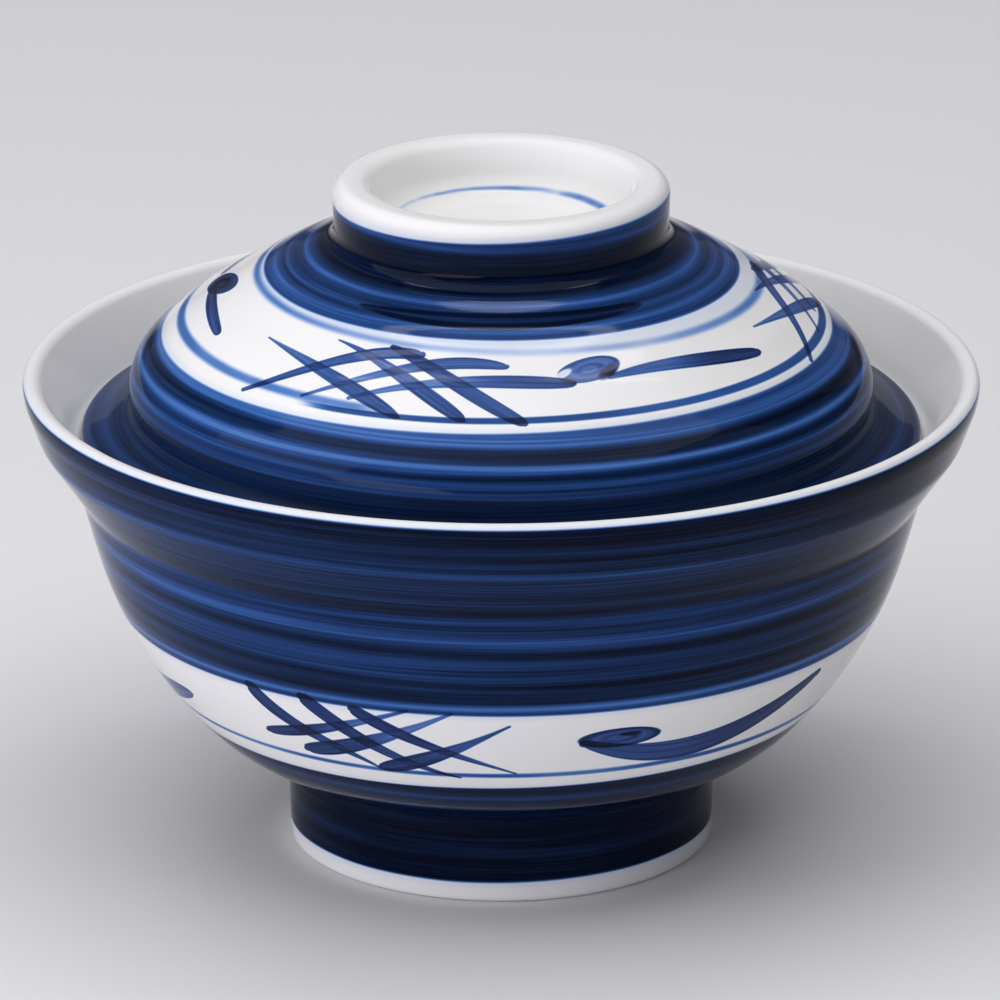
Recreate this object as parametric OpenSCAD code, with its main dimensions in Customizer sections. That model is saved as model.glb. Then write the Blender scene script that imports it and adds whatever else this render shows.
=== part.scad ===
// Donburi bowl with lid: a porcelain bowl on a foot ring, and a domed lid that lies inside its flared rim

/* [Bowl] */
// Outside diameter of the rim
rim_d = 152; // [146:1:158]
// Height of the bowl from the table to the top of the lip
bowl_h = 77.5; // [74:0.5:90]
// Thickness of the bowl's wall
bowl_wall = 4; // [3.4:0.1:4.8]
// Thickness of the lip
lip_t = 2.4; // [2:0.1:3.2]
// Height of the upright band at the lip
lip_h = 2.4; // [1.6:0.1:3.6]
// Rounding of the lip's outer edge
lip_r = 1.2; // [0.8:0.1:1.5]
// Rounding of the lip's inner edge
lip_inner_r = 2; // [1:0.1:2.4]
// How far the shoulder, where the flared rim turns upright, lies inside the rim
shoulder_in = 2.4; // [1.4:0.1:4]
// Depth of the shoulder below the lip
shoulder_drop = 8.9; // [7:0.1:12]
// Rounding of the shoulder
shoulder_r = 8; // [4:0.5:12]
// Width of the flare, from the shoulder in to the waist, where the belly begins
flare_w = 6.4; // [4.5:0.1:9]
// Depth of the waist below the lip
waist_drop = 18; // [16:0.1:22]
// Rounding inside the waist
waist_r = 3.5; // [1:0.5:6]
// How far the belly's upper turn lies inside the waist
belly_in = 6.5; // [4.5:0.1:8.5]
// Height of the belly's upper turn above the foot ring
belly_rise = 21.8; // [18:0.2:25]
// Rounding of the belly's upper turn
belly_r = 65; // [50:1:80]
// How far the belly's lower turn lies outside the foot ring
hip_out = 11.3; // [9:0.1:15]
// Height of the belly's lower turn above the foot ring
hip_rise = 4.3; // [2.5:0.1:5.5]
// Rounding of the belly's lower turn
hip_r = 32; // [24:1:40]
// Thickness of the bowl's floor
floor_t = 6; // [4.5:0.1:7.5]
// Rounding where the floor rises into the wall
floor_r = 40; // [20:1:60]

/* [Foot ring] */
// Outside diameter of the foot ring at the table
foot_d = 67.4; // [60:0.2:70]
// How far the foot ring widens from the table to the belly
foot_lean = 0.5; // [-1.6:0.1:2.4]
// Height of the foot ring
foot_h = 14.2; // [12:0.2:17]
// Thickness of the foot ring at the table
foot_wall = 4.6; // [3.6:0.1:6]
// Thickness of the foot ring below the belly
foot_top_wall = 6; // [5:0.1:8]
// Depth of the recess inside the foot ring
foot_recess = 10.2; // [8:0.2:12]
// Rounding of the foot ring's edges on the table
foot_edge_r = 1.2; // [0.6:0.1:1.6]
// Fillet in the corner of the recess
foot_recess_r = 4; // [2:0.5:6]
// Fillet where the foot ring meets the belly
foot_join_r = 1.5; // [0.5:0.1:3]

/* [Lid] */
// Thickness of the lid's wall
lid_wall = 4; // [3.4:0.1:4.8]
// Thickness of the skirt's edge
skirt_t = 3.2; // [2.8:0.1:3.8]
// Rounding of the skirt's edges
skirt_r = 1.5; // [0.8:0.1:1.5]
// Width of the skirt, from the lid's edge in to the groove below the dome
skirt_w = 8.45; // [7:0.05:10]
// Height of the groove above the lid's lower edge
groove_h = 5.7; // [4.8:0.1:7]
// Rounding inside the groove
groove_r = 2.5; // [1:0.1:4]
// How far the corner between the dome's side and its slope hangs over the groove
dome_out = 1.95; // [0.5:0.05:3.5]
// Height of the dome's corner above the lid's lower edge
dome_side_h = 12.3; // [11:0.1:14]
// Rounding of the dome's corner
dome_r = 13.7; // [10:0.1:16]
// How far inside the dome's corner its slope eases
crown_in = 10.25; // [8:0.05:13]
// Height at which the dome's slope eases, above the lid's lower edge
crown_h = 21.8; // [20:0.1:23.5]
// Rounding of the dome's slope
crown_r = 60; // [40:1:80]
// How far outside the knob's neck the dome flattens
cap_out = 9.5; // [7:0.1:12]
// Height at which the dome flattens, above the lid's lower edge
cap_h = 29.9; // [28:0.1:31.5]
// Rounding where the dome flattens
cap_r = 40; // [20:1:60]
// Height of the dome at the knob, above the lid's lower edge
dome_h = 34.4; // [32.5:0.1:37]
// Thickness of the lid below the knob
ceiling_t = 4.4; // [3.6:0.1:5.2]
// Rounding where the ceiling falls into the dome
ceiling_r = 30; // [10:1:50]

/* [Knob] */
// Outside diameter of the ring knob at its top
knob_d = 53.6; // [48:0.2:58]
// How far the ring knob leans in from its top to its neck
knob_lean = 0.3; // [-1:0.1:3]
// Height of the ring knob above the dome
knob_h = 9.3; // [7:0.1:12]
// Thickness of the ring knob at its top
knob_wall = 5.5; // [4.6:0.1:7]
// Rounding of the ring knob's top edges
knob_edge_r = 2.2; // [1.2:0.1:2.2]
// Fillet between the ring knob and the dome
knob_foot_r = 3; // [0.8:0.1:4]
// Depth of the recess inside the ring knob
knob_recess = 8.1; // [6.5:0.1:9]
// How far the recess's side slopes in from the ring knob's top to its floor
knob_slope = 3.8; // [2:0.1:6]
// Fillet round the recess's floor
knob_floor_r = 6; // [3:0.5:9]

/* [Fit] */
// Height of the lid's seat above the inside of the waist
seat_rise = 5.25; // [4.3:0.05:8.5]
// Clearance between the lid's edge and the flare that it rests on
seat_gap = 0.3; // [0.1:0.05:0.5]

/* [Hidden] */
$fn = 180;

// Largest turn of one facet in a rounded corner, in degrees
arc_step = 5;
// Least rounding that an inner corner keeps
least_r = 1;
glaze = [0.14, 0.23, 0.46];

function unit(v) = v / norm(v);
function left_of(v) = [-v[1], v[0]];
function place(corner) = [corner[0], corner[1]];
function turned(v, angle) = [v[0] * cos(angle) - v[1] * sin(angle), v[0] * sin(angle) + v[1] * cos(angle)];
function reversed(list) = [for (i = [len(list) - 1 : -1 : 0]) list[i]];
function at_height(p, q, z) = place(p) + (place(q) - place(p)) * (z - p[1]) / (q[1] - p[1]);

// Direction from one corner of an outline to another
function heading(path, i, j) = unit(place(path[j]) - place(path[i]));
// Half of the angle between the two sides that meet at corner i
function half_angle(path, i) =
    acos(max(-1, min(1, heading(path, i, i - 1) * heading(path, i, i + 1)))) / 2;
// How far the rounding of corner i runs along its sides
function reach(path, i) =
    i == 0 || i == len(path) - 1 ? 0 : path[i][2] / tan(half_angle(path, i));
// Share of the rounding of corner i that the side towards corner j has room for
function room(path, i, j) =
    norm(place(path[i]) - place(path[j])) / max(reach(path, i) + reach(path, j), 0.001);

// Points of the arc that rounds corner i
function corner_arc(path, i) =
    let (
        back = heading(path, i, i - 1),
        ahead = heading(path, i, i + 1),
        half = half_angle(path, i),
        radius = path[i][2] * min(1, room(path, i, i - 1), room(path, i, i + 1)),
        centre = place(path[i]) + unit(back + ahead) * radius / sin(half),
        start = place(path[i]) + back * radius / tan(half) - centre,
        turn = (180 - 2 * half) * sign(cross(ahead, back)),
        steps = ceil(abs(turn) / arc_step)
    )
    [for (k = [0 : steps]) centre + turned(start, turn * k / steps)];

// Outline through corners given as [radius from axis, height, rounding], with its two ends kept as they are
function rounded(path) =
    [place(path[0]), for (i = [1 : len(path) - 2]) each corner_arc(path, i), place(path[len(path) - 1])];

// Corners of the same outline one wall thickness to its left, so that rounded walls keep their thickness
function wall_inside(path, wall) =
    [for (i = [0 : len(path) - 1])
        let (
            before = i > 0 ? heading(path, i - 1, i) : heading(path, i, i + 1),
            after = i < len(path) - 1 ? heading(path, i, i + 1) : before,
            normals = left_of(before) + left_of(after),
            spot = place(path[i]) + normals * wall / (1 + before * after),
            radius = cross(before, after) > 0 ? max(least_r, path[i][2] - wall) : path[i][2] + wall
        )
        [spot[0], spot[1], radius]];

// Bowl: the outside of its wall from the foot ring up, and the inside at wall thickness from it
rim_r = rim_d / 2;
foot_r = foot_d / 2;
foot_top_r = foot_r + foot_lean;
shoulder_out_r = rim_r - shoulder_in;
waist_out_r = shoulder_out_r - flare_w;
bowl_outside = [
    [foot_top_r, foot_h, foot_join_r],
    [foot_r + hip_out, foot_h + hip_rise, hip_r],
    [waist_out_r - belly_in, foot_h + belly_rise, belly_r],
    [waist_out_r, bowl_h - waist_drop, waist_r],
    [shoulder_out_r, bowl_h - shoulder_drop, shoulder_r],
];
bowl_inside = wall_inside(bowl_outside, bowl_wall);
floor_h = foot_recess + floor_t;
floor_corner = at_height(bowl_inside[0], bowl_inside[1], floor_h);
lip_inner = [rim_r - lip_t, bowl_h, lip_inner_r];

// Seat: the lid's rounded edge lies on the flare's inner cone, one clearance away from it
flare_low = bowl_inside[3];
seat_normal = left_of(unit(place(lip_inner) - place(flare_low)));
seat = at_height(flare_low, lip_inner, flare_low[1] + seat_rise);
edge_centre = seat + seat_normal * (skirt_r + seat_gap);
lid_r = edge_centre[0] + skirt_r;
lid_z = edge_centre[1] - skirt_r;

// Lid: heights from its lower edge, with the outside from the skirt up and the inside at wall thickness from it
lid_h = dome_h + knob_h;
knob_r = knob_d / 2;
neck_r = knob_r - knob_lean;
groove_out_r = lid_r - skirt_w;
dome_out_r = groove_out_r + dome_out;
knob_floor_h = lid_h - knob_recess;
lid_outside = [
    [lid_r, skirt_t, skirt_r],
    [groove_out_r, groove_h, groove_r],
    [dome_out_r, dome_side_h, dome_r],
    [dome_out_r - crown_in, crown_h, crown_r],
    [neck_r + cap_out, cap_h, cap_r],
    [neck_r, dome_h, knob_foot_r],
];
lid_inside = wall_inside(lid_outside, lid_wall);
ceiling_h = knob_floor_h - ceiling_t;
ceiling_corner = at_height(lid_inside[5], lid_inside[4], ceiling_h);
skirt_corner = at_height(lid_inside[0], lid_inside[1], 0);

module bowl() {
    color(glaze)
    rotate_extrude()
    polygon(rounded([
        [0, foot_recess],
        [foot_top_r - foot_top_wall, foot_recess, foot_recess_r],
        [foot_r - foot_wall, 0, foot_edge_r],
        [foot_r, 0, foot_edge_r],
        each bowl_outside,
        [rim_r, bowl_h - lip_h, shoulder_r],
        [rim_r, bowl_h, lip_r],
        lip_inner,
        each reversed([for (i = [1 : 3]) bowl_inside[i]]),
        [floor_corner[0], floor_h, floor_r],
        [0, floor_h],
    ]));
}

module lid() {
    color(glaze)
    translate([0, 0, lid_z])
    rotate_extrude()
    polygon(rounded([
        [0, ceiling_h],
        [ceiling_corner[0], ceiling_h, ceiling_r],
        each reversed([for (i = [1 : 4]) lid_inside[i]]),
        [skirt_corner[0], 0, skirt_r],
        [lid_r, 0, skirt_r],
        each lid_outside,
        [knob_r, lid_h, knob_edge_r],
        [knob_r - knob_wall, lid_h, knob_edge_r],
        [knob_r - knob_wall - knob_slope, knob_floor_h, knob_floor_r],
        [0, knob_floor_h],
    ]));
}

bowl();
lid();
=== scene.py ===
# Donburi bowl with lid: white porcelain brushed with cobalt under a clear glaze
import math

import bpy
import numpy as np
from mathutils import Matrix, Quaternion, Vector


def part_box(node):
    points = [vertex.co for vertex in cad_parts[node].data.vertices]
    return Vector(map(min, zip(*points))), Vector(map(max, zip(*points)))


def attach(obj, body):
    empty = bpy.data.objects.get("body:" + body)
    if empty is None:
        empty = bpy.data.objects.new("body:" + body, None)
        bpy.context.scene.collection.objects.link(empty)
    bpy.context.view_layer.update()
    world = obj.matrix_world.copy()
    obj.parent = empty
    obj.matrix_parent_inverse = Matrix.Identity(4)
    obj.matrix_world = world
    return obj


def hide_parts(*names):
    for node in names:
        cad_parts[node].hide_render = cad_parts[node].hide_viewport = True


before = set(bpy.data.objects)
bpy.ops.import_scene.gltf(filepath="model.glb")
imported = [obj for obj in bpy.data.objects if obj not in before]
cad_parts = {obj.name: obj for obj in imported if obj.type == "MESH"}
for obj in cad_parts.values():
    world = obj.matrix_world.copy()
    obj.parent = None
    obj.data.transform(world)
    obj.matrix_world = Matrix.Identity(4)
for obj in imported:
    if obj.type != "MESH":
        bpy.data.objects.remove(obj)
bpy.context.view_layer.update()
mm = 0.001
print("frame loaded:", ", ".join(sorted(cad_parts)))

photoCamera = dict(elevation=18.85, distance=1.9, aim=(-0.0002, 0.0, 0.0559), lens=429.1, sensor=36.0)


def addCamera(look):
    tilt = math.radians(look["elevation"])
    lensData = bpy.data.cameras.new("photoCamera")
    lensData.lens = look["lens"]
    lensData.sensor_width = look["sensor"]
    camera = bpy.data.objects.new("photoCamera", lensData)
    bpy.context.scene.collection.objects.link(camera)
    camera.location = Vector(look["aim"]) + look["distance"] * Vector((0, -math.cos(tilt), math.sin(tilt)))
    camera.rotation_euler = (math.pi / 2 - tilt, 0, 0)
    bpy.context.scene.camera = camera


addCamera(photoCamera)
print("camera placed")


# Tangent arcs: the arc at a corner starts at reach = rounding * tan(turn / 2) before it and swings by the
# turn between its two sides. Where a side is too short for both its arcs, their rounding shrinks to fit.
def roundedOutline(corners, steps=10):
    point = np.array([corner[:2] for corner in corners], float)
    rounding = np.array([corner[2] for corner in corners[1:-1]], float)
    side = np.diff(point, axis=0)
    length = np.linalg.norm(side, axis=1)
    way = side / length[:, None]
    into, outOf = way[:-1], way[1:]
    turn = np.arctan2(into[:, 0] * outOf[:, 1] - into[:, 1] * outOf[:, 0], (into * outOf).sum(1))
    reach = np.pad(rounding * np.abs(np.tan(turn / 2)), 1)
    room = length / np.maximum(reach[:-1] + reach[1:], 1e-9)
    share = np.minimum(1, np.minimum(room[:-1], room[1:]))
    start = point[1:-1] - into * (reach[1:-1] * share)[:, None]
    inward = np.stack([-into[:, 1], into[:, 0]], 1) * np.sign(turn)[:, None]
    centre = start + inward * (rounding * share)[:, None]
    arm = start - centre
    swing = turn[:, None] * np.linspace(0, 1, steps + 1)
    r = centre[:, :1] + arm[:, :1] * np.cos(swing) - arm[:, 1:] * np.sin(swing)
    z = centre[:, 1:] + arm[:, :1] * np.sin(swing) + arm[:, 1:] * np.cos(swing)
    arcs = np.stack([r, z], 2).reshape(-1, 2)
    return np.concatenate([point[:1], arcs, point[-1:]])


# Inner face of a wall: each corner moves along the mean of its two sides' left normals, far enough that
# both sides lie one wall thickness away, and its rounding grows or shrinks by the wall.
def innerCorners(outside, wall, leastRounding=1.0):
    point = np.array([corner[:2] for corner in outside], float)
    rounding = np.array([corner[2] for corner in outside], float)
    way = np.diff(point, axis=0)
    way /= np.linalg.norm(way, axis=1)[:, None]
    into = np.concatenate([way[:1], way])
    outOf = np.concatenate([way, way[-1:]])
    leftNormals = np.stack([-into[:, 1] - outOf[:, 1], into[:, 0] + outOf[:, 0]], 1)
    moved = point + leftNormals * (wall / (1 + (into * outOf).sum(1)))[:, None]
    turnsLeft = into[:, 0] * outOf[:, 1] - into[:, 1] * outOf[:, 0] > 0
    innerRounding = np.where(turnsLeft, np.maximum(leastRounding, rounding - wall), rounding + wall)
    return np.column_stack([moved, innerRounding]).tolist()


def radiusAtHeight(lower, upper, height):
    return lower[0] + (upper[0] - lower[0]) * (height - lower[1]) / (upper[1] - lower[1])


# Surface of revolution: P(turn, station) = (r sin turn, -r cos turn, z), front at turn 0, closed at the
# poles. Each point keeps its run, the distance along the outline in mm from where the outside starts.
def turnedPiece(name, outline, outsideStart, columns=224, spacing=1.6, closest=0.02):
    along = np.append(0, np.cumsum(np.linalg.norm(np.diff(outline, axis=0), axis=1)))
    station = np.union1d(along, np.arange(0, along[-1], spacing))
    station = station[np.append(np.diff(station) > closest, True)]
    r = np.interp(station, along, outline[:, 0])[1:-1, None]
    z = np.interp(station, along, outline[:, 1])
    run = station - along[outsideStart]
    turn = np.linspace(-math.pi, math.pi, columns, endpoint=False)
    height = np.repeat(z[1:-1, None], columns, axis=1)
    rings = np.stack([r * np.sin(turn), -r * np.cos(turn), height], 2)
    poles = np.array([[0, 0, z[0]], [0, 0, z[-1]]])
    i, j = np.indices((len(r) - 1, columns))
    after = (j + 1) % columns
    row, nextRow = i * columns, (i + 1) * columns
    quads = np.stack([row + j, row + after, nextRow + after, nextRow + j], 2)
    column = np.arange(columns)
    nextColumn = (column + 1) % columns
    firstPole, lastPole, lastRow = len(r) * columns, len(r) * columns + 1, (len(r) - 1) * columns
    firstCap = np.stack([np.full(columns, firstPole), nextColumn, column], 1)
    lastCap = np.stack([lastRow + column, lastRow + nextColumn, np.full(columns, lastPole)], 1)
    mesh = bpy.data.meshes.new(name)
    points = np.concatenate([rings.reshape(-1, 3), poles]) * mm
    faces = quads.reshape(-1, 4).tolist() + firstCap.tolist() + lastCap.tolist()
    mesh.from_pydata(points.tolist(), [], faces)
    mesh.attributes.new("run", "FLOAT", "POINT")
    runs = np.concatenate([np.repeat(run[1:-1], columns), run[[0, -1]]])
    mesh.attributes["run"].data.foreach_set("value", runs.astype(np.float32))
    mesh.polygons.foreach_set("use_smooth", np.ones(len(mesh.polygons), bool))
    mesh.update()
    piece = bpy.data.objects.new(name, mesh)
    bpy.context.scene.collection.objects.link(piece)
    print("%s made: %d points, run %.1f to %.1f mm" % (name, len(points), run[0], run[-1]))
    return piece


class Field:  # a number socket of a glaze, for use in expressions
    def __init__(self, glaze, socket):
        self.glaze = glaze
        self.socket = socket

    def maths(self, operation, *values):
        return self.glaze.node("ShaderNodeMath", {"operation": operation}, dict(enumerate(values)))

    def other(self, output):  # another output of the same node
        return Field(self.glaze, self.socket.node.outputs[output])

    def __add__(self, value):
        return self.maths("ADD", self, value)

    def __sub__(self, value):
        return self.maths("SUBTRACT", self, value)

    def __rsub__(self, value):
        return self.maths("SUBTRACT", value, self)

    def __mul__(self, value):
        return self.maths("MULTIPLY", self, value)

    def __truediv__(self, value):
        return self.maths("DIVIDE", self, value)

    def __pow__(self, value):
        return self.maths("POWER", self, value)

    def __abs__(self):
        return self.maths("ABSOLUTE", self)

    def __neg__(self):
        return self.maths("MULTIPLY", self, -1.0)

    __radd__ = __add__
    __rmul__ = __mul__


class Glaze:  # one material and its nodes
    def __init__(self, name):
        self.material = bpy.data.materials.new(name)
        self.material.use_nodes = True
        self.tree = self.material.node_tree
        self.tree.nodes.clear()

    def node(self, kind, settings=None, values=None, output=0):
        made = self.tree.nodes.new(kind)
        for key, value in (settings or {}).items():
            if key == "stops":
                self.setStops(made.color_ramp, value)
            else:
                setattr(made, key, value)
        for key, value in (values or {}).items():
            if isinstance(value, Field):
                self.tree.links.new(value.socket, made.inputs[key])
            else:
                made.inputs[key].default_value = value
        return Field(self, made.outputs[output]) if len(made.outputs) else made

    def setStops(self, ramp, stops):
        while len(ramp.elements) < len(stops):
            ramp.elements.new(1.0)
        for element, (place, colour) in zip(ramp.elements, stops):
            element.position = place
            element.color = (*colour, 1.0) if isinstance(colour, tuple) else (colour, colour, colour, 1.0)

    def rise(self, value, low, high):  # 0 below low, 1 above high, smooth between
        return self.node("ShaderNodeMapRange", {"interpolation_type": "SMOOTHSTEP"},
                         {"Value": value, "From Min": low, "From Max": high})

    def noise(self, vector, detail=2.0, scale=1.0):
        return self.node("ShaderNodeTexNoise", {}, {"Vector": vector, "Scale": scale, "Detail": detail})

    def vector(self, x, y, z):
        return self.node("ShaderNodeCombineXYZ", {}, {0: x, 1: y, 2: z})


cobalt = dict(  # colour of the fired pigment by its density, from bare porcelain to a full brush
    tones=[
        (0.00, (0.815, 0.81, 0.80)),
        (0.10, (0.60, 0.67, 0.77)),
        (0.25, (0.29, 0.395, 0.63)),
        (0.40, (0.086, 0.205, 0.49)),
        (0.55, (0.033, 0.105, 0.335)),
        (0.70, (0.013, 0.044, 0.160)),
        (0.85, (0.0045, 0.0165, 0.056)),
        (1.00, (0.0006, 0.002, 0.011)),
    ],
    strokeTones=[  # the same pigment drawn with a wetter brush: greyer
        (0.00, (0.815, 0.81, 0.80)),
        (0.25, (0.33, 0.40, 0.58)),
        (0.40, (0.135, 0.20, 0.42)),
        (0.55, (0.056, 0.102, 0.30)),
        (0.70, (0.023, 0.045, 0.150)),
        (0.85, (0.008, 0.016, 0.052)),
        (1.00, (0.0006, 0.002, 0.011)),
    ],
    edge=0.28,  # softness of a brushed edge, mm
    halo=0.07,  # pigment that bled past the edge
    haloReach=(-1.6, 0.2),  # mm past the edge between which the halo grows
    overlap=0.13,  # what a second stroke adds where two cross
    fullBrush=0.99,  # most that a band can hold
)

brush = dict(  # streaks and patches as cells round, cells per mm and detail
    handSway=(1.1, 0.02, 2.0), stripeSway=0.6,
    wideStreak=(0.9, 0.45, 2.0), fineStreak=(1.2, 2.6, 3.0), fineSeed=5,
    ringPatch=(2.2, 0.15, 2.0), patchRise=(0.25, 0.6),
    ringEnd=(5, 3),  # degrees outside and inside a ring's end over which it fades
    strokeEdge=0.15,  # softness of a stroke's edge, mm
    strokeTip=0.0005,  # share of the length kept off both ends, where the powers turn steep
    pool=(-0.8, -0.2, 0.06),  # mm from the edge between which pigment gathers, and how much
    toneShift=(0.3, 0.75),  # shares of the length between which the tone goes from first to last
    hairs=(2.4, 1.6, 0.4),  # hair marks: cells per mm across, cells along, depth
    hairShift=5.3,  # moves each stroke's hair marks off the others'
    least=0.001,  # keeps a divisor off zero
)

curlBrush = dict(  # reaches from the middle (0) to the edge (1) of the loop, then strengths
    edge=(0.94, 1.04), rim=(0.55, 0.95), streaks=(4, 0.06, 7.0), streakDepth=0.45,
    gap=(0.6, 1.1), gapDepth=0.85, eye=(0.6, 1.2), eyeDepth=0.75,
)

repeat = dict(sector=120, lead=56)  # degrees of one repeat of the motif, and from its left end to the front


class BrushedGlaze(Glaze):  # brushed porcelain, painted by turn in degrees and run in mm
    def __init__(self, name):
        super().__init__(name)
        self.spot = self.node("ShaderNodeTexCoord", output="Object")
        x = self.node("ShaderNodeSeparateXYZ", {}, {0: self.spot})
        y = x.other(1)
        radius = (x * x + y * y + 1e-12) ** 0.5
        self.turn = x.maths("ARCTAN2", x, -y) * (180 / math.pi)
        self.sine = x / radius
        self.cosine = -y / radius
        self.run = self.node("ShaderNodeAttribute", {"attribute_name": "run"}, output="Fac")
        self.sway = self.around(*brush["handSway"]) - 0.5
        self.clear = 1.0

    def around(self, cells, perMm, detail=2.0, seed=0.0):  # noise drawn out along the brush's way round
        place = self.vector(self.sine * cells + seed, self.cosine * cells, self.run * perMm)
        return self.noise(place, detail)

    def lay(self, density):  # pigment laid over what is there: its clear part multiplies
        self.clear = (1 - density) * self.clear

    def edgeAt(self, edge):  # run of a ring's edge: its mean, a sideways lean and the hand's sway
        mean, lean, shake = edge
        return mean + self.sine * lean + self.sway * shake

    def band(self, band):
        low = self.run - self.edgeAt(band["low"])
        high = self.edgeAt(band["high"]) - self.run
        soft = cobalt["edge"]
        inside = self.rise(low, -soft, soft) * self.rise(high, -soft, soft)
        faint, strong = cobalt["haloReach"]
        bleed = self.rise(low, faint, strong) * self.rise(high, faint, strong) * cobalt["halo"]
        first, last = band["stripes"][0][0], band["stripes"][-1][0]
        span = last - first
        shifted = self.run + self.sine * band["drift"] + self.sway * brush["stripeSway"]
        stops = [((run - first) / span, tone) for run, tone in band["stripes"]]
        tone = self.node("ShaderNodeValToRGB", {"stops": stops}, {"Fac": (shifted - first) / span})
        wide = self.around(*brush["wideStreak"], band["seed"]) - 0.5
        fine = self.around(*brush["fineStreak"], band["seed"] + brush["fineSeed"]) - 0.5
        # the lean term brushes a band denser towards the right and thinner towards the left: painted shade
        # for light that falls from the left
        brushed = tone + wide * band["wide"] + fine * band["fine"] + self.sine * band["lean"]
        self.lay(inside * brushed.maths("MINIMUM", brushed, cobalt["fullBrush"]))
        self.lay(bleed * (1 - inside))

    def ring(self, ring):
        width, widen = ring["width"]
        half = self.sine * (widen / 2) + width / 2
        away = abs(self.run - self.edgeAt(ring["at"])) - half
        line = 1 - self.rise(away, -ring["soft"], ring["soft"])
        patches = self.around(*brush["ringPatch"], ring["seed"])
        strength = self.rise(patches, *brush["patchRise"]) * ring["patchy"] + (1 - ring["patchy"])
        if "turns" in ring:
            first, last = ring["turns"]
            before, after = brush["ringEnd"]
            strength = strength * self.rise(self.turn, first - before, first + after)
            strength = strength * (1 - self.rise(self.turn, last - after, last + before))
        self.lay(line * strength * (self.sine * self.sine * ring["sides"] + ring["tone"]))

    # Brush stroke: along goes from 0 to 1 on the chord from start to end, and across is the distance off it
    # in mm. Its middle bows off the chord by 4 along (1 - along) (bend + lean (1 - 2 along)), its width
    # grows from thin to full by along^p (1 - along)^q scaled to 1 at the peak, and both its ends are round.
    def stroke(self, turn, run, mmPerDegree, stroke):
        (turnA, runA), (turnB, runB) = stroke["start"], stroke["end"]
        dx, dy = (turnB - turnA) * mmPerDegree, runB - runA
        length = math.hypot(dx, dy)
        x = (turn - turnA) * mmPerDegree
        y = run - runA
        along = x * (dx / length ** 2) + y * (dy / length ** 2)
        across = y * (dx / length) - x * (dy / length)
        tip = brush["strokeTip"]
        inside = along.maths("MINIMUM", along.maths("MAXIMUM", along, tip), 1 - tip)
        bend, lean = stroke["bow"]
        off = across - inside * (1 - inside) * 4 * (bend + lean - inside * (2 * lean))
        past = (along - inside) * length
        (thin, full), (p, q) = stroke["width"], stroke["swell"]
        peak = (p / (p + q)) ** p * (q / (p + q)) ** q
        half = inside ** p * (1 - inside) ** q * ((full - thin) / 2 / peak) + thin / 2
        beyond = (off * off + past * past) ** 0.5 - half
        body = 1 - self.rise(beyond, -brush["strokeEdge"], brush["strokeEdge"])
        poolStart, poolEnd, poolDepth = brush["pool"]
        pooled = self.rise(beyond, poolStart, poolEnd) * poolDepth
        first, last = stroke["tone"]
        tone = self.rise(inside, *brush["toneShift"]) * (last - first) + first + pooled
        return body, tone, off, inside

    # Curl: closed loop of the brush, an ellipse with its own rim, streaks that follow it, a bare gap and a
    # dark eye. Reach is the distance from the middle as a share of the ellipse's own size.
    def curl(self, turn, run, mmPerDegree, curl):
        def reachFrom(at, size, slope):
            dx = (turn - at[0]) * mmPerDegree
            dy = run - at[1] - dx * slope
            return ((dx / size[0]) ** 2 + (dy / size[1]) ** 2) ** 0.5

        reach = reachFrom(curl["at"], curl["size"], curl["slope"])
        disc = 1 - self.rise(reach, *curlBrush["edge"])
        rim = self.rise(reach, *curlBrush["rim"]) * (curl["rim"] - curl["tone"])
        perReach, perDegree, layer = curlBrush["streaks"]
        streaks = self.noise(self.vector(reach * perReach, turn * perDegree, layer)) - 0.5
        gap = 1 - self.rise(reachFrom(*curl["gap"]), *curlBrush["gap"])
        eye = 1 - self.rise(reachFrom(*curl["eye"]), *curlBrush["eye"])
        tone = rim + streaks * curlBrush["streakDepth"] + curl["tone"]
        loop = disc * (1 - gap * curlBrush["gapDepth"]) * tone
        return 1 - (1 - loop) * (1 - eye * curlBrush["eyeDepth"])

    def motif(self, motif):  # strokes and curl, three times round, each time a little off as by hand
        mmPerDegree = motif["radius"] * math.pi / 180
        third = self.turn.maths("FLOOR", (self.turn + repeat["lead"]) / repeat["sector"])
        third = third.maths("MAXIMUM", third, -1.0)  # the sliver at the back joins the left repeat
        turn = self.turn - third * (repeat["sector"] + motif["turnStep"])
        run = self.run - third * motif["runStep"]
        onLeft = third.maths("COMPARE", third, -1.0, 0.1)
        where = dict(left=onLeft, others=1 - onLeft, all=1.0)
        clearBefore = self.clear
        bare, total, toned, acrossSum, alongSum = 1.0, 0.0, 0.0, 0.0, 0.0
        for number, stroke in enumerate(motif["strokes"]):
            body, tone, off, along = self.stroke(turn, run, mmPerDegree, stroke)
            body = body * where[stroke.get("thirds", "all")]
            bare = (1 - body) * bare
            total = body + total
            toned = body * tone + toned
            acrossSum = body * (off + brush["hairShift"] * number) + acrossSum
            alongSum = body * along + alongSum
        covered = 1 - bare
        perMm, perLength, hairDepth = brush["hairs"]
        hairs = self.noise(self.vector(acrossSum * perMm, alongSum * perLength, 0.0)) - 0.5
        tone = toned / (total + brush["least"]) + hairs * hairDepth
        self.lay(covered * tone + (total - covered) * cobalt["overlap"])
        for curl in motif["curls"]:
            self.lay(self.curl(turn, run, mmPerDegree, curl) * where[curl.get("thirds", "all")])
        self.drawn = 1 - self.clear / (clearBefore + brush["least"])  # the strokes' share of the pigment

    def overlap(self, overlap):  # a stroke laid over a band: draws the dark lens across the front of the lid's top band, a painted reflection of dark surroundings
        mmPerDegree = overlap["radius"] * math.pi / 180
        body, tone = self.stroke(self.turn, self.run, mmPerDegree, overlap)[:2]
        self.lay(body * tone)

    def between(self, low, high, soft=0.3):  # 1 where the run lies between two values
        return self.rise(self.run, low - soft, low) * (1 - self.rise(self.run, high, high + soft))


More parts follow.
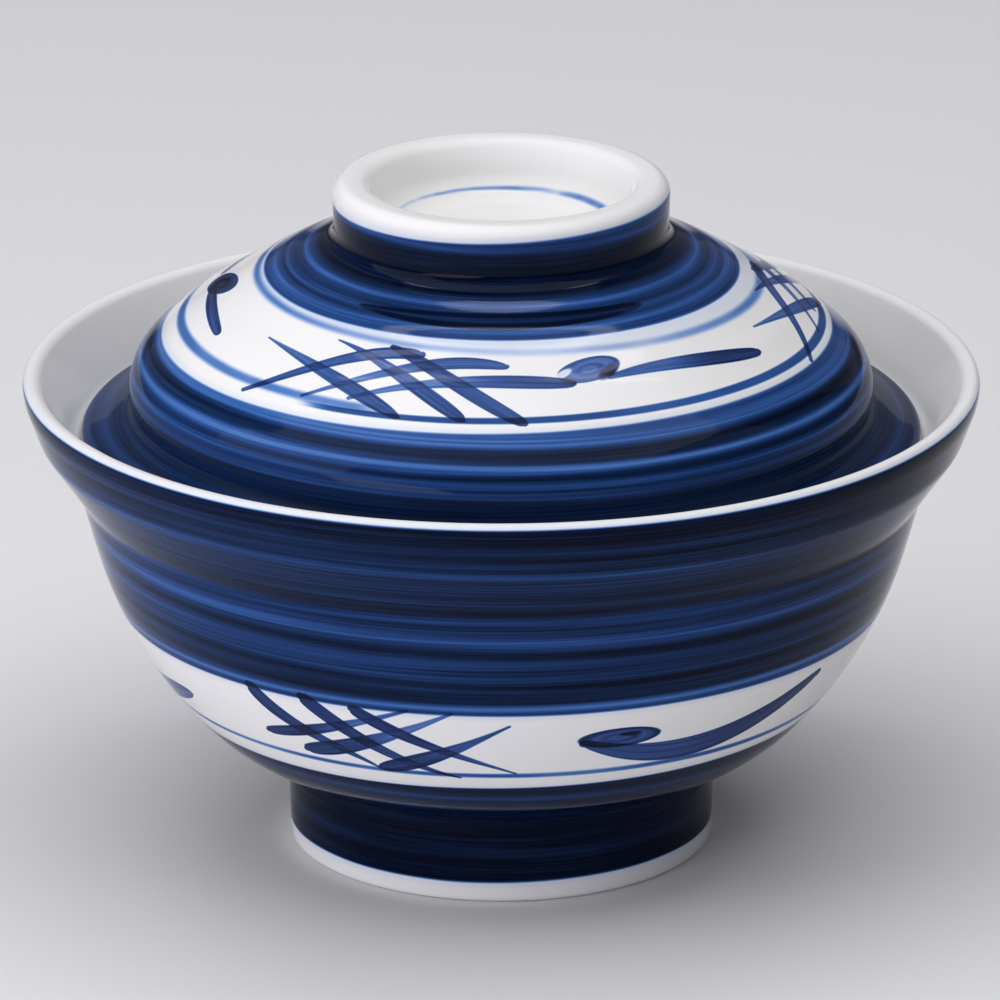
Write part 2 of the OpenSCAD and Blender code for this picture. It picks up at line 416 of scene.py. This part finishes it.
finish = dict(
    mottle=(3.0, 90.0), mottleDepth=0.03,  # noise as detail and cells per metre
    peel=(1.0, 260.0), peelHeight=0.004, peelRoughness=0.03,  # heights in mm
    ripple=(0.6, 0.22, 1.0, 31.0), rippleHeight=0.05,
    clay=(0.72, 0.69, 0.63, 1), clayRoughness=0.5, creaseRoughness=0.3, roughness=0.06,
)


def paintedGlaze(name, paint):
    glaze = BrushedGlaze(name)
    for band in paint["bands"]:
        glaze.band(band)
    for ring in paint["rings"]:
        glaze.ring(ring)
    # painted reflection: strokes that darken the front of a band where the glaze would mirror something
    # dark
    for overlap in paint["darkReflectionStrokes"]:
        glaze.overlap(overlap)
    glaze.motif(paint["motif"])
    mottle = glaze.noise(glaze.spot, *finish["mottle"]) - 0.5
    density = 1 - glaze.clear + mottle * finish["mottleDepth"]
    banded = glaze.node("ShaderNodeValToRGB", {"stops": cobalt["tones"]}, {"Fac": density})
    stroked = glaze.node("ShaderNodeValToRGB", {"stops": cobalt["strokeTones"]}, {"Fac": density})
    painted = glaze.node("ShaderNodeMix", {"data_type": "RGBA"}, {0: glaze.drawn, 6: banded, 7: stroked}, 2)
    bare = glaze.between(*paint["bareClay"])
    dull = glaze.between(*paint["dullCrease"])  # the glaze lies thin and dull in the crease
    colour = glaze.node("ShaderNodeMix", {"data_type": "RGBA"}, {0: bare, 6: painted, 7: finish["clay"]}, 2)
    firstRing, ringPitch, ringHeight = paint["wheel"]
    phase = (glaze.run - firstRing) * (2 * math.pi / ringPitch)
    wheel = phase.maths("COSINE", phase) * ringHeight
    ripple = glaze.around(*finish["ripple"]) * finish["rippleHeight"]
    peel = glaze.noise(glaze.spot, *finish["peel"])
    height = wheel + ripple + peel * finish["peelHeight"]  # all in mm
    bump = glaze.node("ShaderNodeBump", {}, {"Height": height, "Strength": 1.0, "Distance": mm})
    dulled = bare * finish["clayRoughness"] + dull * finish["creaseRoughness"]
    roughness = dulled + peel * finish["peelRoughness"] + finish["roughness"]
    shader = glaze.node("ShaderNodeBsdfPrincipled", {}, {
        "Base Color": colour, "Roughness": roughness, "Normal": bump, "IOR": paint["ior"]})
    glaze.node("ShaderNodeOutputMaterial", {}, {"Surface": shader})
    print(name, "painted:", len(glaze.tree.nodes), "nodes")
    return glaze.material


bowlShape = dict(  # corners as radius, height and rounding, in mm
    foot=[(0, 10.2), (28.2, 10.2, 4), (29.1, 0, 1.2), (33.7, 0, 1.2)],
    outside=[(34.2, 14.2, 1.5), (45, 18.5, 32), (60.7, 36, 65), (67.2, 59.5, 3.5), (73.6, 68.6, 8)],
    lip=[(76, 75.1, 8), (76, 77.5, 1.2), (73.6, 77.5, 2)],
    wall=4, floorHeight=16.2, floorRounding=40,
)

bowlPaint = dict(  # edges as run, sideways lean and sway in mm; stripes as run and density
    bands=[
        dict(low=(4.2, 0.2, 0.5), high=(35.9, 1.15, 0.4),
             drift=0.2, wide=0.2, fine=0.25, lean=0.0, seed=0.0,
             stripes=[(4, 0.96), (7.5, 0.97), (8.8, 0.88), (10.3, 0.96), (13, 0.98), (20, 0.93),
                      (26, 0.92), (28, 0.90), (30, 0.94), (32.5, 0.78), (34.2, 0.93), (37, 0.90)]),
        dict(low=(54.3, 0.1, 0.3), high=(56.6, 0.2, 0.2),
             drift=-0.2, wide=0.2, fine=0.2, lean=0.0, seed=2.0,
             stripes=[(54, 0.68), (54.9, 0.72), (55.3, 0.62), (55.6, 0.47), (55.9, 0.48), (56.3, 0.66),
                      (57, 0.8)]),
        # lean 0.055 here is painted shade: the band is denser towards the right
        dict(low=(56.5, 0.2, 0.2), high=(93.05, 0.0, 0.3),
             drift=0.85, wide=0.22, fine=0.40, lean=0.055, seed=3.0,
             stripes=[(56.5, 0.80), (57.3, 0.93), (59, 0.82), (60.3, 0.97), (61.7, 0.77), (62.9, 0.85),
                      (64.4, 0.73), (66.3, 0.95), (68.5, 0.63), (70.9, 0.86), (72.2, 0.74), (74.5, 0.95),
                      (76.7, 0.83), (78, 0.92), (80.7, 0.82), (82.6, 0.86), (84.1, 0.71), (85.3, 0.88),
                      (86.3, 0.82), (87.6, 0.95), (88.9, 0.80), (91.1, 0.97), (93, 0.92)]),
    ],
    rings=[
        dict(at=(39.7, 0.2, 0.5), width=(1.1, 0.2), soft=0.35, tone=0.60,
             sides=0.0, patchy=0.3, seed=11.0),
    ],
    motif=dict(
        radius=58.0, turnStep=-5.0, runStep=3.5,
        strokes=[
            dict(start=(-39.8, 54.6), end=(-20.6, 40.2), bow=(-1.2, -1.3), width=(0.4, 3.0),
                 swell=(0.15, 0.85), tone=(0.72, 0.63)),
            dict(start=(-30.4, 54.7), end=(-6.8, 39.0), bow=(-1.8, 0.3), width=(0.4, 3.0),
                 swell=(0.15, 0.95), tone=(0.73, 0.61)),
            dict(start=(-22.4, 53.9), end=(2.4, 40.4), bow=(-0.65, -0.45), width=(0.4, 2.6),
                 swell=(0.2, 1.3), tone=(0.73, 0.58)),
            dict(start=(-40.0, 44.5), end=(-13.8, 54.7), bow=(-0.75, -0.3), width=(0.6, 2.4),
                 swell=(0.35, 1.3), tone=(0.73, 0.48)),
            dict(start=(-33.4, 41.8), end=(-7.3, 54.6), bow=(-1.1, -0.35), width=(0.6, 3.4),
                 swell=(0.35, 1.4), tone=(0.73, 0.46)),
            dict(start=(-20.4, 40.0), end=(1.2, 52.1), bow=(-0.9, -0.25), width=(0.5, 3.4),
                 swell=(0.5, 1.6), tone=(0.73, 0.56)),
            # the tail darkens towards its right end: partly its own deeper pigment, partly painted shade
            # for the side away from the light
            dict(start=(12.8, 47.4), end=(55.6, 51.6), bow=(-6.2, -1.0), width=(1.6, 5.3),
                 swell=(0.7, 0.75), tone=(0.64, 0.74), thirds="others"),
            dict(start=(14.0, 48.0), end=(57.3, 49.7), bow=(-3.5, -1.2), width=(0.4, 5.0),
                 swell=(0.7, 0.5), tone=(0.58, 0.62), thirds="left"),
        ],
        curls=[dict(at=(18.4, 48.1), size=(6.8, 2.25), slope=0.0, tone=0.64, rim=0.80,
                    gap=((23.5, 45.9), (2.0, 0.6), 0.0), eye=((20.0, 48.8), (1.9, 0.55), 0.0))],
    ),
    darkReflectionStrokes=[], bareClay=(-6.0, 0.4), dullCrease=(12.4, 15.8), wheel=(58.0, 9.0, 0.012), ior=1.15,
)


def makeBowl(shape):
    inside = innerCorners(shape["outside"], shape["wall"])
    height = shape["floorHeight"]
    floorCorner = (radiusAtHeight(inside[0], inside[1], height), height, shape["floorRounding"])
    corners = shape["foot"] + shape["outside"] + shape["lip"] + inside[3:0:-1] + [floorCorner, (0, height)]
    outline = roundedOutline(corners)
    footEdge = np.flatnonzero(outline[:, 1] < 1e-6)[-1]  # outside starts where the foot leaves the table
    return turnedPiece("bowlBody", outline, footEdge)


lidShape = dict(  # heights from the lid's lower edge, in mm
    outside=[(66.75, 3.2, 1.5), (58.3, 5.7, 2.5), (60.25, 12.3, 13.7), (50, 21.8, 60), (36, 29.9, 40),
             (26.5, 34.4, 3)],
    knob=[(26.8, 43.7, 2.2), (21.3, 43.7, 2.2), (17.5, 35.6, 6), (0, 35.6)],
    wall=4, ceilingHeight=31.2, ceilingRounding=30, edgeRounding=1.5,
)

lidPaint = dict(
    bands=[
        # lean 0.04 here is painted shade: the band and its flange are denser towards the right
        dict(low=(0.8, 0.0, 0.4), high=(24.9, 0.9, 0.4),
             drift=0.3, wide=0.2, fine=0.34, lean=0.04, seed=6.0,
             stripes=[(0, 0.84), (2, 0.78), (3.5, 0.86), (5, 0.74), (6.5, 0.88), (8, 0.80),
                      (9.5, 0.88), (11, 0.82), (13.4, 0.88), (14.2, 0.67), (15.2, 0.80), (16.1, 0.63),
                      (17.2, 0.88), (18.2, 0.66), (18.7, 0.46), (19.1, 0.54), (19.6, 0.80), (21.1, 0.95),
                      (21.9, 0.86), (22.5, 0.62), (22.9, 0.52), (23.3, 0.60), (23.7, 0.52), (24.2, 0.58),
                      (25, 0.64)]),
        dict(low=(43.5, -0.1, 0.3), high=(62.3, 0.9, 0.3),
             drift=0.0, wide=0.2, fine=0.3, lean=0.0, seed=9.0,
             # from run 53.5 to 59 the stripes lie in the cove under the knob and on its side: the knob's
             # own dark band, brushed near full as painted shade in the cove
             stripes=[(43.4, 0.66), (44, 0.72), (45.6, 0.60), (46.8, 0.78), (47.7, 0.66), (48.8, 0.80),
                      (50.2, 0.74), (51, 0.56), (51.8, 0.74), (53.5, 0.95), (54.4, 0.93), (56.8, 0.99),
                      (59, 0.97), (60.2, 0.88), (61, 0.66), (61.7, 0.76), (62.4, 0.66)]),
    ],
    rings=[
        dict(at=(27.25, 0.6, 0.5), width=(1.15, 0.35), soft=0.22, tone=0.66,
             sides=0.0, patchy=0.15, seed=21.0, turns=(-34, 160)),
        dict(at=(28.0, -0.1, 0.6), width=(1.3, -0.3), soft=0.5, tone=0.42,
             sides=0.08, patchy=0.3, seed=22.0, turns=(-170, -24)),
        dict(at=(41.0, -1.3, 0.4), width=(1.3, 0.2), soft=0.6, tone=0.19,
             sides=0.26, patchy=0.3, seed=23.0),
        dict(at=(42.2, -0.6, 0.3), width=(2.2, 0.0), soft=0.8, tone=0.07,
             sides=0.0, patchy=0.0, seed=25.0),
        dict(at=(77.1, 0.0, 0.5), width=(0.7, 0.5), soft=0.45, tone=0.40,
             sides=0.0, patchy=0.85, seed=24.0),
    ],
    motif=dict(
        radius=46.0, turnStep=-1.0, runStep=0.0,
        strokes=[
            dict(start=(-56.0, 36.2), end=(-18.0, 27.0), bow=(1.8, -0.1), width=(0.3, 2.5),
                 swell=(1.3, 0.5), tone=(0.50, 0.61)),
            dict(start=(-38.5, 40.0), end=(-6.5, 27.3), bow=(2.05, 0.5), width=(0.3, 2.5),
                 swell=(1.1, 0.35), tone=(0.52, 0.60)),
            dict(start=(-25.0, 40.7), end=(4.0, 26.8), bow=(1.2, 0.6), width=(0.8, 2.6),
                 swell=(0.6, 0.35), tone=(0.61, 0.60)),
            dict(start=(-50.3, 26.1), end=(-17.6, 39.7), bow=(3.15, -1.3), width=(0.8, 2.6),
                 swell=(1.0, 0.2), tone=(0.56, 0.59)),
            dict(start=(-37.7, 28.1), end=(1.2, 38.1), bow=(3.7, -0.85), width=(0.6, 2.5),
                 swell=(1.3, 0.4), tone=(0.45, 0.58)),
            dict(start=(-28.4, 29.4), end=(14.2, 34.1), bow=(3.0, 0.75), width=(0.8, 2.7),
                 swell=(1.3, 0.4), tone=(0.45, 0.61)),
            dict(start=(21.8, 34.6), end=(58.0, 32.1), bow=(1.45, 0.5), width=(0.9, 2.8),
                 swell=(0.8, 0.4), tone=(0.50, 0.76), thirds="others"),
            dict(start=(23.0, 33.9), end=(49.0, 32.2), bow=(0.6, 0.0), width=(1.0, 2.1),
                 swell=(0.4, 0.4), tone=(0.74, 0.66), thirds="left"),
        ],
        curls=[
            dict(at=(18.3, 36.6), size=(5.7, 2.45), slope=0.16, tone=0.51, rim=0.60, thirds="others",
                 gap=((12.6, 36.1), (1.8, 0.9), 0.5), eye=((22.0, 35.7), (2.1, 1.2), 0.5)),
            dict(at=(24.0, 35.6), size=(6.6, 2.75), slope=0.26, tone=0.84, rim=0.74, thirds="left",
                 gap=((32.5, 38.9), (0.6, 0.3), 0.3), eye=((23.0, 36.0), (2.4, 1.0), 0.3)),
        ],
    ),
    # painted reflection: three strokes darken a lens across the front of the top band, standing in for a
    # dark reflection there
    darkReflectionStrokes=[
        dict(radius=34.0, start=(-41.0, 47.9), end=(40.6, 48.2), bow=(-0.45, 0.0), width=(0.2, 3.3),
             swell=(0.5, 0.4), tone=(0.46, 0.50)),
        dict(radius=34.0, start=(-40.0, 48.0), end=(39.0, 48.4), bow=(0.75, 0.1), width=(0.2, 1.2),
             swell=(0.5, 0.3), tone=(0.66, 0.70)),
        dict(radius=34.0, start=(-36.0, 47.5), end=(34.0, 47.4), bow=(-0.95, -0.1), width=(0.2, 1.3),
             swell=(0.4, 0.5), tone=(0.70, 0.66)),
    ],
    bareClay=(-6.0, -1.0), dullCrease=(8.6, 11.6), wheel=(46.2, 6.5, 0.045), ior=1.17,
)


def makeLid(shape):
    inside = innerCorners(shape["outside"], shape["wall"])
    height = shape["ceilingHeight"]
    ceilingEdge = radiusAtHeight(inside[5], inside[4], height)
    ceiling = [(0, height), (ceilingEdge, height, shape["ceilingRounding"])]
    edge = [(radiusAtHeight(inside[0], inside[1], 0), 0, shape["edgeRounding"])]
    edge.append((shape["outside"][0][0], 0, shape["edgeRounding"]))
    corners = ceiling + inside[4:0:-1] + edge + shape["outside"] + shape["knob"]
    outline = roundedOutline(corners)
    outline[:, 1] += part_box("lid")[0].z / mm
    return turnedPiece("lidBody", outline, int(np.argmax(outline[:, 0])))


bowlBody = makeBowl(bowlShape)
bowlBody.data.materials.append(paintedGlaze("bowlGlaze", bowlPaint))
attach(bowlBody, "bowl")
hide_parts("bowl")

lidBody = makeLid(lidShape)
lidBody.data.materials.append(paintedGlaze("lidGlaze", lidPaint))
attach(lidBody, "lid")
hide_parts("lid")

studio = dict(
    floorSize=8.0, floorColour=(0.80, 0.80, 0.80), floorRoughness=0.9, floorGloss=0.1,
    worldColour=(0.90, 0.88, 1.06), worldLevel=0.09,
    lamps=[  # name, place, aim, size across and deep, radiance, tint
        ("topBox", (-0.1, -0.43, 1.32), (-0.1, -0.43, 0.0), (2.2, 1.4), 1.56, (1.0, 1.0, 0.98)),
        ("stripBox", (0.0, 0.36, 1.32), (0.0, 0.36, 0.0), (1.3, 0.11), 9.0, (0.98, 0.95, 1.05)),
        ("leftHighBox", (-1.4, -0.4, 0.85), (0.0, 0.0, 0.05), (1.4, 1.0), 1.5, (1.0, 1.0, 1.0)),
        ("rightHighBox", (1.3, -0.2, 1.5), (0.0, 0.0, 0.05), (1.4, 1.2), 0.35, (1.0, 1.0, 1.0)),
        ("frontBox", (-0.3, -1.5, 1.3), (0.0, 0.0, 0.05), (1.6, 1.0), 0.15, (1.0, 1.0, 1.0)),
        ("backBox", (0.0, 1.5, 0.95), (0.0, 0.0, 0.1), (3.0, 1.7), 0.1, (0.94, 0.94, 1.06)),
    ],
    glow=dict(place=(-0.55, -0.85, 0.17), aim=(0.0, 0.0, 0.1), size=(0.8, 0.3), roll=-18, layers=4,
              radiance=14.0, tint=(0.95, 0.93, 1.07)),
)


def addLamp(name, shape, place, aim, size, radiance, tint, roll=0):
    data = bpy.data.lights.new(name, "AREA")
    data.shape = shape
    data.size, data.size_y = size
    data.color = tint
    area = size[0] * size[1] * (math.pi / 4 if shape == "ELLIPSE" else 1)
    data.energy = radiance * math.pi * area
    lamp = bpy.data.objects.new(name, data)
    bpy.context.scene.collection.objects.link(lamp)
    lamp.location = place
    towards = (Vector(aim) - Vector(place)).to_track_quat("-Z", "Y")
    lamp.rotation_euler = (towards @ Quaternion((0, 0, 1), math.radians(roll))).to_euler()


def lightStudio(studio):
    half = studio["floorSize"] / 2
    mesh = bpy.data.meshes.new("tableTop")
    corners = [(-half, -half, 0), (half, -half, 0), (half, half, 0), (-half, half, 0)]
    mesh.from_pydata(corners, [], [(0, 1, 2, 3)])
    tableTop = bpy.data.objects.new("tableTop", mesh)
    bpy.context.scene.collection.objects.link(tableTop)
    paper = Glaze("palePaper")
    shader = paper.node("ShaderNodeBsdfPrincipled", {}, {
        "Base Color": (*studio["floorColour"], 1), "Roughness": studio["floorRoughness"],
        "Specular IOR Level": studio["floorGloss"]})
    paper.node("ShaderNodeOutputMaterial", {}, {"Surface": shader})
    mesh.materials.append(paper.material)
    for name, place, aim, size, radiance, tint in studio["lamps"]:
        addLamp(name, "RECTANGLE", place, aim, size, radiance, tint)
    glow = studio["glow"]  # soft lamp, brightest in its middle: ellipses one inside the other
    for layer in range(glow["layers"]):
        share = 1 - layer / glow["layers"]
        size = (glow["size"][0] * share, glow["size"][1] * share)
        addLamp("frontLeftGlow%d" % layer, "ELLIPSE", glow["place"], glow["aim"], size,
                glow["radiance"] / glow["layers"], glow["tint"], glow["roll"])
    world = bpy.data.worlds.new("studioAir")
    world.use_nodes = True
    air = world.node_tree.nodes["Background"]
    air.inputs["Color"].default_value = (*studio["worldColour"], 1)
    air.inputs["Strength"].default_value = studio["worldLevel"]
    bpy.context.scene.world = world
    bpy.context.scene.view_settings.view_transform = "Standard"
    print("studio lit by", len(studio["lamps"]), "soft boxes and a glow")


lightStudio(studio)
